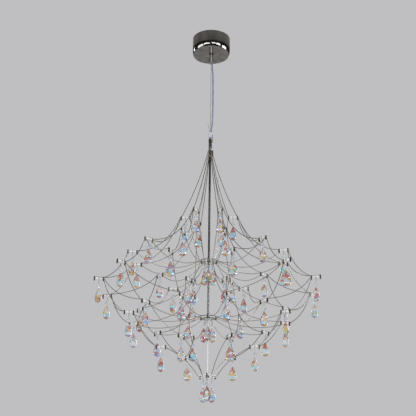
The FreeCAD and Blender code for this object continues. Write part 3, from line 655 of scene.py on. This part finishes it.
WIRES = {
    "hub_wires": hub, "bell_wires": bell, "basket_wires": basket, "inner_wires": inner, "cross_wires": cross,
    "outer_wires": flank_wires("b", "c", 1, -1.4, (-1, 4.6), 2.4, (1, 5.6), (0.3, 0.75)),
    "return_wires": flank_wires("c", "d", -1, -4.6, (1, 1.6), 1.2, (1, 4.6), (0.3, 0.72)),
    "middle_swags": [wire(post_seat("b", az, -1, -4.6), ring_seat("m", az, -1.6), (0.45, 0), SWAG, SWAG_SAG)
                     for az in TWELVES],
    "lower_swags": [wire(post_seat("d", az, -1, -7.2), ring_seat("l", az, -1.2), (0.45, 0), SWAG, SWAG_SAG / 2)
                    for az in TWELVES],
}
for name, shapes in WIRES.items():
    piece(name.replace("_", "_round_"), shapes, "fixture", [name], [NICKEL])

# ---------------------------------------------------------------- CAD solids that stay, in the same materials
STAYS = {
    ZINC: ("ceiling_bracket", "stem_nuts", "threaded_stem"),
    BLACK: ("lamp_driver", "feed_clamp"),
    BRIGHT: ("swivel_ball", "cable_crimp", "loose_leads"),
    SATIN: ("gripper_screws",),
    WHITE: ("feed_connector",),
}
for made_of, names in STAYS.items():
    for name in names:
        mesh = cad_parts[name].data
        mesh.materials.clear()
        mesh.materials.append(made_of)

# ---------------------------------------------------------------- floor, lights and world, in metres
FLOOR_LEVEL, FLOOR_HALF = -4.5, 16.0
floor_mesh = bpy.data.meshes.new("floor")
floor_mesh.from_pydata([(x * FLOOR_HALF, y * FLOOR_HALF, FLOOR_LEVEL)
                        for x, y in ((-1, -1), (1, -1), (1, 1), (-1, 1))], [], [(0, 1, 2, 3)])
floor_mesh.materials.append(plastic("floor", (0.66, 0.66, 0.66), (0.70, 0.70, 0.70), 0.7))
floor = bpy.data.objects.new("floor", floor_mesh)
bpy.context.scene.collection.objects.link(floor)


CENTRE, DAYLIGHT = Vector((0, 0, -0.5)), (0.88, 0.94, 1.0)


def softbox(name, location, width, height, power):
    """A light that faces the part's middle; the camera doesn't see it, and the one at the back not through glass."""
    light = bpy.data.lights.new(name, "AREA")
    light.shape = "RECTANGLE"
    light.size, light.size_y, light.energy, light.color = width, height, power, DAYLIGHT
    made = bpy.data.objects.new(name, light)
    bpy.context.scene.collection.objects.link(made)
    made.visible_camera = False
    made.visible_transmission = name != "back"
    made.location = location
    made.rotation_mode = "QUATERNION"
    made.rotation_quaternion = (CENTRE - location).to_track_quat("-Z", "Y")


# Azimuth in degrees, distance, level, width and height in metres, and power in watts.
SOFTBOXES = {
    "side_left": (142, 3.4, 1.4, 0.6, 0.25, 4), "far_left": (200, 3.4, 1.1, 2.3, 0.22, 8),
    "left": (242, 3.4, 1.1, 2.2, 0.16, 8), "right": (284, 3.4, 1.15, 1.4, 0.16, 5),
    "mid_right": (312, 3.4, 1.1, 1.4, 0.22, 9), "far_right": (357, 3.4, 1.05, 2.2, 0.32, 22),
    "low_front": (271, 3.9, -2.3, 2.8, 0.5, 13), "back": (75, 3.4, -0.2, 2.4, 1.0, 24),
}
for name, (azimuth, distance, level, width, height, power) in SOFTBOXES.items():
    softbox(name, polar(distance, azimuth, level), width, height, power)

# The backdrop as the camera sees it and as glass shows it, and the even light all around.
BACKDROP, THROUGH, AROUND = (0.52, 0.52, 0.53), (0.68, 0.68, 0.69), (0.80, 0.80, 0.81)
# What metal mirrors, by height from straight down (0) over level (0.5) to straight up (1).
REFLECTED = [(0.40, (0.50, 0.50, 0.51)), (0.50, grey(0.12)), (0.58, grey(0.05)), (0.735, grey(0.04)),
             (0.755, grey(0.38)), (0.92, grey(0.28))]
world = bpy.data.worlds.new("studio")
bpy.context.scene.world = world
world.use_nodes = True
tree = world.node_tree


def choose(factor, otherwise, then):
    """One colour where the factor is 0 and the other where it is 1."""
    mix = node(tree, "Mix", data_type="RGBA")
    tree.links.new(factor, mix.inputs[0])
    for socket, value in ((mix.inputs[6], otherwise), (mix.inputs[7], then)):
        if isinstance(value, tuple):
            socket.default_value = (*value, 1)
        else:
            tree.links.new(value, socket)
    return mix.outputs[2]


rays = node(tree, "LightPath").outputs
upward = node(tree, "SeparateXYZ")
tree.links.new(node(tree, "TexCoord").outputs["Generated"], upward.inputs[0])
halved = node(tree, "Math", operation="MULTIPLY_ADD")
halved.inputs[1].default_value = halved.inputs[2].default_value = 0.5
tree.links.new(upward.outputs["Z"], halved.inputs[0])
shown = node(tree, "Math", operation="MAXIMUM")
tree.links.new(rays["Is Camera Ray"], shown.inputs[0])
tree.links.new(rays["Is Transmission Ray"], shown.inputs[1])
behind = choose(rays["Is Transmission Ray"], BACKDROP, THROUGH)
lit_by = choose(rays["Is Glossy Ray"], AROUND, ramp(tree, halved.outputs[0], REFLECTED))
tree.links.new(choose(shown.outputs[0], lit_by, behind), tree.nodes["Background"].inputs["Color"])
